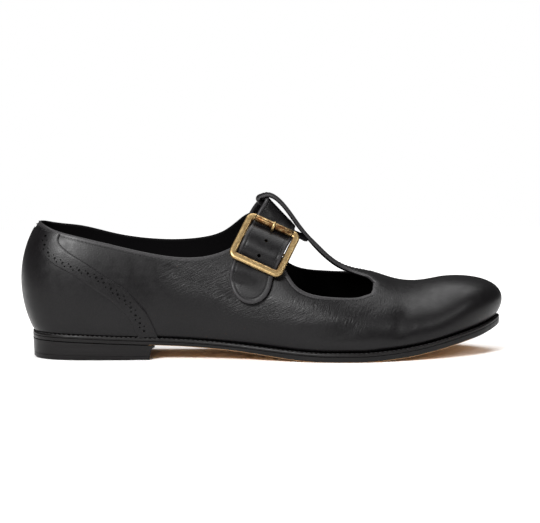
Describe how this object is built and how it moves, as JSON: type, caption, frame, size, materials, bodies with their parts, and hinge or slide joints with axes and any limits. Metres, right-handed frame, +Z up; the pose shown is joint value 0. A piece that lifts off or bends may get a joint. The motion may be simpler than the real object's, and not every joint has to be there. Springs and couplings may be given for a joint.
{
  "type": "t strap shoe",
  "caption": "Women's right flat with an instep bar and a buckled cross strap, open at collar and sides, on a low stacked heel.",
  "frame": {"origin": "on the floor, at the middle of the heel's tread", "axes": "+X to the toe, +Y to the inner side of the foot, +Z up"},
  "size_m": [0.2668, 0.0854, 0.089],
  "materials": {
    "upper_leather": "smooth, semi-gloss, finely creased",
    "counter_leather": "smooth, semi-gloss, finely creased",
    "strap_leather": "smooth, semi-gloss, finely creased",
    "tab_leather": "smooth, semi-gloss, finely creased",
    "welt_leather": "waxed black edge",
    "heel_stack": "waxed black stack",
    "sole_leather": "tan leather tread with black edge",
    "insole_leather": "matt black sock lining",
    "antique_brass": "antiqued, brushed"
  },
  "bodies": {
    "root": {"upper": "upper_leather", "counter": "counter_leather", "instep_strap": "strap_leather", "buckle_tab": "tab_leather", "welt": "welt_leather", "heel": "heel_stack", "outsole": "sole_leather", "insole": "insole_leather", "buckle_frame": "antique_brass", "buckle_roller": "antique_brass", "buckle_prong": "antique_brass"}
  },
  "joints": []
}
